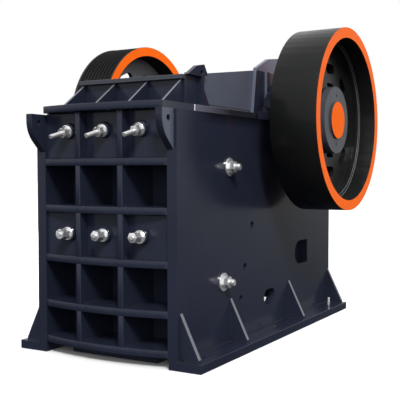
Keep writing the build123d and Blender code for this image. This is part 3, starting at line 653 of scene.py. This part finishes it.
def turned_steel(name):
    """Bare turned steel with lathe rings and a little oil film."""
    material, tree, shader = new_material(name)
    place = object_place(tree)
    rings = turning_marks(tree, *turned_radius(tree, place))
    tone = toned(tree, grown(tree, rings, noise_span), finish().steel_colour, dark=0.8, light=1.15)
    tree.links.new(tone, shader.inputs["Base Color"])
    shader.inputs["Metallic"].default_value = 1.0
    roughened(tree, shader, noise(tree, place, scale=12.0), smooth=0.24, rough=0.42)
    bumped(tree, shader, rings, depth=0.0002)
    return material


def cast_steel(name):
    """Cast manganese steel: sand-rough skin, rubbed bright on the edges."""
    material, tree, shader = new_material(name)
    place = object_place(tree)
    colour = finish().cast_colour
    skin = noise(tree, place, scale=70.0, detail=6.0)
    tone = patchy(tree, place, colour, scale=5.0, dark=0.75, light=1.25)
    rub = remapped(tree, skin, source=(0.35, 0.6), target=(0.2, 0.8))
    rubbed = both(tree, edge_share(tree, radius=0.012), rub)
    tree.links.new(mixed(tree, rubbed, tone, shaded(colour, factor=3.2)), shader.inputs["Base Color"])
    shader.inputs["Metallic"].default_value = 0.8
    roughened(tree, shader, skin, smooth=0.42, rough=0.66)
    bumped(tree, shader, skin, depth=0.0012)
    return material


finish_makers = {
    "frame_enamel": frame_paint,
    # Gussets: painted highlight on the sloping edges
    "gusset_enamel": lambda name: frame_paint(name, sloping_highlight, finish().edge_highlight_colour),
    # Feed frame's front plate: lighter enamel on the rail
    "rail_enamel": lambda name: frame_paint(name, on_rail, finish().rail_and_end_light_colour),
    # Top flange's front piece: painted light on its end faces
    "flange_enamel": lambda name: frame_paint(name, on_ends, finish().rail_and_end_light_colour),
    # Side walls: painted light on the ears' outer faces, painted shade under the top flange
    "wall_enamel": lambda name: frame_paint(name, lit_ear_face, finish().panel_lit_colour, shade_under_strip),
    # Rear lugs: painted light
    "lug_enamel": lambda name: frame_paint(name, lit_lug_part, finish().lug_lit_colour),
    # Feed panels painted lighter as a painted reflection
    "panel_enamel": lambda name: enamel(name, finish().panel_lit_colour, finish().paint_roughness),
    # Side strips: painted light, a painted highlight at the front and painted shade toward the rear
    "strip_enamel": lit_strip_paint,
    "weld_enamel": weld_paint,
    "flywheel_enamel": lambda name: wheel_enamel(name, "flywheel", finish().wheel_gloss),
    "sheave_enamel": lambda name: wheel_enamel(name, "sheave", finish().rim_gloss, grooved=True),
    "flywheel_cap_enamel": lambda name: wheel_enamel(name, "flywheel_cap", finish().rim_gloss),
    "bright_zinc": zinc,
    "turned_steel": turned_steel,
    "cast_steel": cast_steel,
}


def finish_named(name):
    """A finish by name, made the first time it is asked for."""
    return bpy.data.materials.get(name) or finish_makers[name](name)


def node_finish(node):
    """Name of the finish that a CAD node gets."""
    return next((name for name, nodes in finish_nodes.items() if node in nodes), "frame_enamel")


# Mesh helpers

def add_object(name, data):
    """New object in the scene."""
    thing = bpy.data.objects.new(name, data)
    bpy.context.scene.collection.objects.link(thing)
    return thing


def new_piece(name, mesh, finish_name):
    """Object from a bmesh in the frame's own place, painted and riding on the machine's frame."""
    data = bpy.data.meshes.new(name)
    bmesh.ops.recalc_face_normals(mesh, faces=mesh.faces)
    mesh.to_mesh(data)
    mesh.free()
    piece = add_object(name, data)
    data.materials.append(finish_named(finish_name))
    data.shade_smooth()
    data.set_sharp_from_angle(angle=math.radians(35))
    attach(piece, "frame")
    return piece


def upright(origin, direction):
    """Matrix that puts local +Z along a direction at an origin."""
    turn = Vector((0, 0, 1)).rotation_difference(Vector(direction).normalized())
    return Matrix.Translation(origin) @ turn.to_matrix().to_4x4()


def raised(place, height):
    """A place moved along its own local Z."""
    return place @ Matrix.Translation((0, 0, height))


def ring_point(mesh, place, radius, angle, height):
    """New point at a radius, an angle and a height about local Z."""
    spot = Vector((radius * math.cos(angle), radius * math.sin(angle), height))
    return mesh.verts.new(place @ spot)


def join_rings(mesh, rings):
    """Walls between rings of points, and a cap on each end."""
    for low, high in zip(rings, rings[1:]):
        count = len(low)
        for step in range(count):
            after = (step + 1) % count
            mesh.faces.new((low[step], low[after], high[after], high[step]))
    mesh.faces.new(rings[0])
    mesh.faces.new(rings[-1])


def lathe(mesh, place, profile, points):
    """Closed body turned about local Z from (radius, height) points, capped at both ends."""
    angles = [math.tau * step / points for step in range(points)]
    rings = []
    for radius, height in profile:
        rings.append([ring_point(mesh, place, radius, angle, height) for angle in angles])
    join_rings(mesh, rings)


def hexagon_nut(mesh, place, across_flats, height):
    """Hexagon nut with chamfered corners on both faces, along local Z."""
    points = 48
    flat = across_flats / 2
    crown = flat * 1.02
    slope = math.tan(math.radians(30))
    side_turn = math.pi / 3
    rings = [[], [], [], []]
    for step in range(points):
        angle = math.tau * step / points
        offset = (angle + side_turn / 2) % side_turn - side_turn / 2
        corner = flat / math.cos(offset)
        drop = max(corner - crown, 0.0) * slope
        reach = min(corner, crown)
        levels = (0.0, drop, height - drop, height)
        for ring, radius, level in zip(rings, (reach, corner, corner, reach), levels):
            ring.append(ring_point(mesh, place, radius, angle, level))
    join_rings(mesh, rings)


def threaded_end(mesh, place, radius, start, end):
    """Threaded bar along local Z, with a chamfered tip."""
    pitch = fasteners().thread_pitch
    root = radius - pitch * 0.55
    crest_start = pitch * 0.35
    crest_end = pitch * 0.6
    neck = radius * 0.96
    neck_start = pitch * 0.4
    nose = radius * 0.8
    nose_length = radius * 0.12
    profile = [(root, start)]
    turns = max(int((end - start - pitch) / pitch), 0)
    for turn in range(turns):
        level = start + turn * pitch
        profile += [(radius, level + crest_start), (radius, level + crest_end), (root, level + pitch)]
    tip = start + turns * pitch
    profile += [(neck, tip + neck_start), (neck, end - nose_length), (nose, end)]
    lathe(mesh, place, profile, points=28)


def washer(mesh, place, radius, thickness):
    """Round washer along local Z, with a rounded outer edge."""
    soft = thickness * washer_round
    profile = [(radius - soft, 0.0), (radius, soft), (radius, thickness - soft), (radius - soft, thickness)]
    lathe(mesh, place, profile, points=40)


def nut_on_stud(mesh, place, nut, stud_radius, stud_length):
    """Nut along local Z with the end of its stud."""
    height = nut[1]
    hexagon_nut(mesh, place, *nut)
    threaded_end(mesh, place, stud_radius, height, height + stud_length)


def bead(mesh, start, end, along_a, along_b):
    """Rippled weld bead in a corner from start to end: along_a and along_b lead away over the two plates."""
    leg = welds().leg
    dip = leg * 0.86
    tail = leg * 0.3
    bulge = 0.62
    start = Vector(start)
    end = Vector(end)
    side_a = Vector(along_a)
    side_b = Vector(along_b)
    middle = side_a + side_b
    root = middle * leg * -0.12
    last = 2 * max(int((end - start).length / leg), 2)
    rings = []
    for step in range(last + 1):
        swell = leg if step % 2 else dip
        if step in (0, last):
            swell = tail
        spot = start.lerp(end, step / last)
        offsets = (root, side_a * swell, middle * swell * bulge, side_b * swell)
        rings.append([mesh.verts.new(spot + offset) for offset in offsets])
    join_rings(mesh, rings)


def solid_boxes(node):
    """Lowest and highest corner of each separate solid in a CAD node, in order along X, then Y, then Z."""
    mesh = bmesh.new()
    mesh.from_mesh(frame["nodes"][node].data)
    bmesh.ops.remove_doubles(mesh, verts=mesh.verts, dist=same_point)
    left = set(mesh.verts)
    boxes = []
    while left:
        group = {left.pop()}
        edge = list(group)
        while edge:
            vert = edge.pop()
            for link in vert.link_edges:
                other = link.other_vert(vert)
                if other in left:
                    left.remove(other)
                    group.add(other)
                    edge.append(other)
        low = Vector([min(vert.co[axis] for vert in group) for axis in range(3)])
        high = Vector([max(vert.co[axis] for vert in group) for axis in range(3)])
        boxes.append((low, high))
    mesh.free()
    return sorted(boxes, key=lambda box: [round(value, ndigits=3) for value in box[0]])


def round_edges(node, width):
    """Small round on the sharp edges of a CAD node, as a modifier."""
    piece = frame["nodes"][node]
    weld = piece.modifiers.new("joined_corners", "WELD")
    weld.merge_threshold = same_point
    round_off = piece.modifiers.new("edge_round", "BEVEL")
    round_off.width = width
    round_off.segments = 2
    round_off.limit_method = "ANGLE"
    round_off.angle_limit = math.radians(40)
    round_off.harden_normals = True


class CRUSHER_OT_paint(bpy.types.Operator):
    """Give every CAD node its finish and its rounded edges"""

    bl_idname = "crusher.paint"
    bl_label = "Paint the crusher"

    def execute(self, context):
        for node, piece in frame["nodes"].items():
            finish_name = node_finish(node)
            piece.data.materials.clear()
            piece.data.materials.append(finish_named(finish_name))
            if finish_name != "bright_zinc":
                round_edges(node, finish().edge_round)
        return {"FINISHED"}


class CRUSHER_OT_jaw_bolts(bpy.types.Operator):
    """Put threaded bolts, nuts and washers in place of the plain jaw bolts"""

    bl_idname = "crusher.jaw_bolts"
    bl_label = "Add the jaw bolts"

    def execute(self, context):
        size = fasteners()
        upper = (size.upper_row_z, size.upper_tilt, [size.upper_nut], size.upper_stud_length)
        lower = (size.lower_row_z, 0.0, [size.lower_nut] * 2, size.lower_stud_length)
        bolt_row("upper_jaw_bolts", *upper)
        bolt_row("lower_jaw_bolts", *lower)
        return {"FINISHED"}


def bolt_row(node, z, tilt, nuts, stud_length):
    """A row of jaw bolts that stands for its CAD node, and the painted bosses under it."""
    size = fasteners()
    bosses = bmesh.new()
    bolts = bmesh.new()
    outward = (0, -math.cos(tilt), -math.sin(tilt))
    soft = size.washer_thickness * washer_round
    boss_profile = [
        (size.boss_radius, -size.boss_root - size.boss_length),
        (size.boss_radius, -soft),
        (size.boss_radius - soft, 0.0),
    ]
    for index, (low, high) in enumerate(solid_boxes(node)):
        seat = ((low.x + high.x) / 2, pad_face_y - size.boss_length, z)
        place = upright(seat, outward) @ Matrix.Rotation(index * size.nut_turn, 4, "Z")
        lathe(bosses, place, boss_profile, points=48)
        washer(bolts, place, size.washer_radius, size.washer_thickness)
        level = size.washer_thickness
        for width, height in nuts:
            hexagon_nut(bolts, raised(place, level), width, height)
            level += height
        threaded_end(bolts, place, size.stud_radius, level, level + stud_length)
    new_piece(node + "_bosses", bosses, "frame_enamel")
    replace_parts(new_piece(node + "_detail", bolts, "bright_zinc"), node)


class CRUSHER_OT_cheek_bolts(bpy.types.Operator):
    """Add the bolts of the cheek plates on both side walls"""

    bl_idname = "crusher.cheek_bolts"
    bl_label = "Add the cheek bolts"

    def execute(self, context):
        size = fasteners()
        mesh = bmesh.new()
        for side in sides:
            for distance, z in (size.cheek_upper, size.cheek_lower):
                place = upright((side * wall_high.x, front_edge_y + distance, z), (side, 0, 0))
                washer(mesh, place, size.cheek_washer_radius, size.washer_thickness)
                nut_place = raised(place, size.washer_thickness) @ Matrix.Rotation(size.nut_turn, 4, "Z")
                nut_on_stud(mesh, nut_place, size.cheek_nut, *size.cheek_stud)
        new_piece("cheek_bolts", mesh, "bright_zinc")
        return {"FINISHED"}


class CRUSHER_OT_bearing_screws(bpy.types.Operator):
    """Add the screws of the bearing covers and the bolts of the housings' feet"""

    bl_idname = "crusher.bearing_screws"
    bl_label = "Add the bearing screws"

    def execute(self, context):
        mesh = bmesh.new()
        for side in sides:
            add_cover_screws(mesh, side)
            for end in sides:
                add_foot_bolt(mesh, side, end)
        new_piece("bearing_screws", mesh, "frame_enamel")
        return {"FINISHED"}


def add_cover_screws(mesh, side):
    """Ring of screws on the bearing cover of one side."""
    size = fasteners()
    for index in range(size.cover_screw_count):
        angle = math.tau * index / size.cover_screw_count
        y = shaft_y + size.cover_circle * math.sin(angle)
        z = shaft_z + size.cover_circle * math.cos(angle)
        hexagon_nut(mesh, upright((side * cover_face_x, y, z), (side, 0, 0)), *size.cover_screw)


def add_foot_bolt(mesh, side, end):
    """Washer, nut and stud on one foot of the bearing housing of one side."""
    size = fasteners()
    wall_middle_x = (wall_low.x + wall_high.x) / 2
    spot = (side * wall_middle_x, shaft_y + end * size.foot_bolt_offset, shaft_z + size.foot_top_rise)
    place = upright(spot, (0, 0, 1))
    washer_radius = size.foot_nut[0] * 0.62
    thickness = size.washer_thickness / 2
    washer(mesh, place, washer_radius, thickness)
    nut_on_stud(mesh, raised(place, thickness), size.foot_nut, size.stud_radius, size.stud_radius)


class CRUSHER_OT_anchor_studs(bpy.types.Operator):
    """Add the studs that stand in the rear anchor holes"""

    bl_idname = "crusher.anchor_studs"
    bl_label = "Add the anchor studs"

    def execute(self, context):
        size = fasteners()
        mesh = bmesh.new()
        row_x = anchor_row["spacing_x_mm"] / 2 * millimetre
        row_y = anchor_row["spacing_y_mm"] / 2 * millimetre
        top = flange_high.z - flange_low.z + size.anchor_stud_rise
        for side in sides:
            place = upright((side * row_x, row_y, flange_low.z), (0, 0, 1))
            threaded_end(mesh, place, size.anchor_stud_radius, 0.0, top)
        new_piece("anchor_studs", mesh, "bright_zinc")
        return {"FINISHED"}


class CRUSHER_OT_rod_nut(bpy.types.Operator):
    """Add the hexagon nut on the end of the tension rod"""

    bl_idname = "crusher.rod_nut"
    bl_label = "Add the tension rod's nut"

    def execute(self, context):
        width, height = fasteners().rod_nut
        mesh = bmesh.new()
        rod_z = (rod_low.z + rod_high.z) / 2
        place = upright((0, rod_high.y - height, rod_z), (0, 1, 0))
        hexagon_nut(mesh, place, width, height)
        new_piece("rod_nut", mesh, "bright_zinc")
        return {"FINISHED"}


class CRUSHER_OT_welds(bpy.types.Operator):
    """Lay the weld beads of the base, the front wall, the feed frame and the rear wall"""

    bl_idname = "crusher.welds"
    bl_label = "Lay the weld beads"

    def execute(self, context):
        for name, lay in weld_groups.items():
            mesh = bmesh.new()
            lay(mesh)
            new_piece(name, mesh, "weld_enamel")
        return {"FINISHED"}


def lay_base_welds(mesh):
    """Beads between the side walls, the base flanges and their gussets."""
    top = flange_high.z
    start_x = wall_high.x + welds().gusset_clip
    start_z = top + welds().gusset_clip
    for side in sides:
        outward = (side, 0, 0)
        wall_x = side * wall_high.x
        bead(mesh, (wall_x, front_edge_y, top), (wall_x, rear_edge_y, top), outward, (0, 0, 1))
        for low, high in solid_boxes("base_gussets_right"):
            end_z = high.z - welds().gusset_tip
            for y, away in ((low.y, (0, -1, 0)), (high.y, (0, 1, 0))):
                bead(mesh, (wall_x, y, start_z), (wall_x, y, end_z), away, outward)
                bead(mesh, (side * start_x, y, top), (side * high.x, y, top), away, (0, 0, 1))


def lay_front_welds(mesh):
    """Beads over and under the bolt plates and beside the uprights of the front wall."""
    for low, high in solid_boxes("jaw_bolt_pads"):
        left_x = low.x + welds().pad_inset
        right_x = high.x - welds().pad_inset
        for z, away in ((low.z, (0, 0, 1)), (high.z, (0, 0, -1))):
            bead(mesh, (left_x, low.y, z), (right_x, low.y, z), (0, -1, 0), away)
    for node in ("front_rib_right", "front_rib_left"):
        for low, high in solid_boxes(node):
            start_y = low.y + welds().rib_start
            end_y = start_y + welds().rib_run
            for x, away in ((low.x, (-1, 0, 0)), (high.x, (1, 0, 0))):
                bead(mesh, (x, start_y, low.z), (x, end_y, low.z), away, (0, 0, 1))
                bead(mesh, (x, start_y, high.z), (x, end_y, high.z), away, (0, 0, -1))


def lay_feed_welds(mesh):
    """Beads of the feed frame's front plate and its gussets."""
    boxes = solid_boxes("feed_front_gussets")
    plate_low, plate_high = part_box("feed_front_plate")
    for low, high in boxes:
        for x, away in ((low.x, (-1, 0, 0)), (high.x, (1, 0, 0))):
            bead(mesh, (x, low.y, low.z), (x, high.y, low.z), away, (0, 0, 1))
    plate_y = boxes[0][1].y
    foot_z = plate_low.z
    bead(mesh, (plate_low.x, plate_y, foot_z), (plate_high.x, plate_y, foot_z), (0, -1, 0), (0, 0, 1))


def lay_rear_welds(mesh):
    """Beads beside the ribs of the rear wall."""
    low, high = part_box("rear_wall")
    face_y = high.y - welds().rear_rib_depth
    half = welds().rear_rib_thickness / 2
    end_x = high.x - welds().rear_rib_inset
    step = 2 * end_x / (welds().rear_rib_count - 1)
    for index in range(welds().rear_rib_count):
        x = index * step - end_x
        for away in sides:
            edge_x = x + away * half
            bead(mesh, (edge_x, face_y, low.z), (edge_x, face_y, high.z), (away, 0, 0), (0, 1, 0))


weld_groups = {
    "base_welds": lay_base_welds,
    "front_welds": lay_front_welds,
    "feed_welds": lay_feed_welds,
    "rear_welds": lay_rear_welds,
}


class CRUSHER_OT_stage(bpy.types.Operator):
    """Set the floor, the light and the camera"""

    bl_idname = "crusher.stage"
    bl_label = "Set the stage"

    def execute(self, context):
        set_floor()
        set_surroundings()
        set_lights()
        set_camera()
        return {"FINISHED"}


def set_floor():
    """Plain pale floor under the crusher, which neither shows in its reflections nor sheds light on it."""
    mesh = bmesh.new()
    bmesh.ops.create_grid(mesh, x_segments=2, y_segments=2, size=stage().floor_half_size)
    data = bpy.data.meshes.new("floor")
    mesh.to_mesh(data)
    mesh.free()
    floor = add_object("floor", data)
    material, tree, shader = new_material("pale_floor")
    tone = patchy(tree, object_place(tree), white, scale=0.8, dark=0.9, light=0.93)
    tree.links.new(tone, shader.inputs["Base Color"])
    shader.inputs["Roughness"].default_value = 0.9
    shader.inputs["Specular IOR Level"].default_value = 0.1
    data.materials.append(material)
    floor.visible_glossy = False
    floor.visible_diffuse = False


def set_surroundings():
    """White backdrop behind the crusher, and a dimmer sky that lights it."""
    world = bpy.data.worlds.new("studio")
    world.use_nodes = True
    tree = world.node_tree
    sky = tree.nodes["Background"]
    sky.inputs["Color"].default_value = (*white, 1.0)
    upward = split_place(tree, tree.nodes.new("ShaderNodeTexCoord").outputs["Generated"])[2]
    below = remapped(tree, upward, stage().sky_band, (stage().sky_ground, stage().sky_low))
    above = remapped(tree, upward, (stage().sky_band[1], 1.0), (0.0, stage().sky_high - stage().sky_low))
    tree.links.new(maths(tree, "ADD", below, above), sky.inputs["Strength"])
    backdrop = {"Color": white, "Strength": stage().backdrop_strength}
    choice = {
        "Fac": node_output(tree, "LightPath", "Is Camera Ray", {}),
        1: sky.outputs["Background"],
        2: node_output(tree, "Background", "Background", backdrop),
    }
    surface = node_output(tree, "MixShader", "Shader", choice)
    tree.links.new(surface, tree.nodes["World Output"].inputs["Surface"])
    bpy.context.scene.world = world
    bpy.context.scene.view_settings.view_transform = "Standard"


def set_lights():
    """Broad key light from the upper right, a rim light behind the right side, a fill and a back light."""
    sun = bpy.data.lights.new("key", "SUN")
    sun.energy = stage().sun_strength
    sun.angle = stage().sun_spread
    add_object("key", sun).matrix_world = upright((0, 0, 0), stage().sun_from)
    add_area_light("rim", stage().rim_place, stage().rim_size, stage().rim_power)
    add_area_light("fill", stage().fill_place, stage().fill_size, stage().fill_power)
    add_area_light("back", stage().back_place, stage().back_size, stage().back_power)


def add_area_light(name, place, size, power):
    """Square soft light that looks at the crusher and stays out of its reflections."""
    light = bpy.data.lights.new(name, "AREA")
    light.size = size
    light.energy = power
    lamp = add_object(name, light)
    lamp.matrix_world = upright(place, Vector(place) - Vector(stage().light_target))
    lamp.visible_glossy = False


def set_camera():
    """Camera at the place and angle of the view."""
    data = bpy.data.cameras.new("camera")
    data.lens = stage().lens
    camera = add_object("camera", data)
    turn = Matrix.Rotation(stage().camera_azimuth, 4, "Z")
    tilt = Matrix.Rotation(math.pi / 2 - stage().camera_pitch, 4, "X")
    roll = Matrix.Rotation(stage().camera_roll, 4, "Z")
    camera.matrix_world = Matrix.Translation(stage().camera_place) @ turn @ tilt @ roll
    bpy.context.scene.camera = camera


class CRUSHER_PT_panel(bpy.types.Panel):
    """Lists the steps that dress the crusher"""

    bl_label = "Crusher"
    bl_idname = "CRUSHER_PT_panel"
    bl_space_type = "VIEW_3D"
    bl_region_type = "UI"
    bl_category = "Crusher"

    def draw(self, context):
        for operator in operators:
            self.layout.operator(operator.bl_idname)


groups = {
    "crusher_finish": CrusherFinish,
    "crusher_fasteners": CrusherFasteners,
    "crusher_welds": CrusherWelds,
    "crusher_stage": CrusherStage,
}
operators = (
    CRUSHER_OT_paint,
    CRUSHER_OT_jaw_bolts,
    CRUSHER_OT_cheek_bolts,
    CRUSHER_OT_bearing_screws,
    CRUSHER_OT_anchor_studs,
    CRUSHER_OT_rod_nut,
    CRUSHER_OT_welds,
    CRUSHER_OT_stage,
)


def register():
    for name, group in groups.items():
        bpy.utils.register_class(group)
        setattr(bpy.types.Scene, name, PointerProperty(type=group))
    for operator in operators:
        bpy.utils.register_class(operator)
    bpy.utils.register_class(CRUSHER_PT_panel)


def unregister():
    bpy.utils.unregister_class(CRUSHER_PT_panel)
    for operator in reversed(operators):
        bpy.utils.unregister_class(operator)
    for name, group in groups.items():
        delattr(bpy.types.Scene, name)
        bpy.utils.unregister_class(group)


def main():
    register()
    bpy.ops.crusher.paint()
    bpy.ops.crusher.jaw_bolts()
    bpy.ops.crusher.cheek_bolts()
    bpy.ops.crusher.bearing_screws()
    bpy.ops.crusher.anchor_studs()
    bpy.ops.crusher.rod_nut()
    bpy.ops.crusher.welds()
    bpy.ops.crusher.stage()


if __name__ == "__main__":
    main()
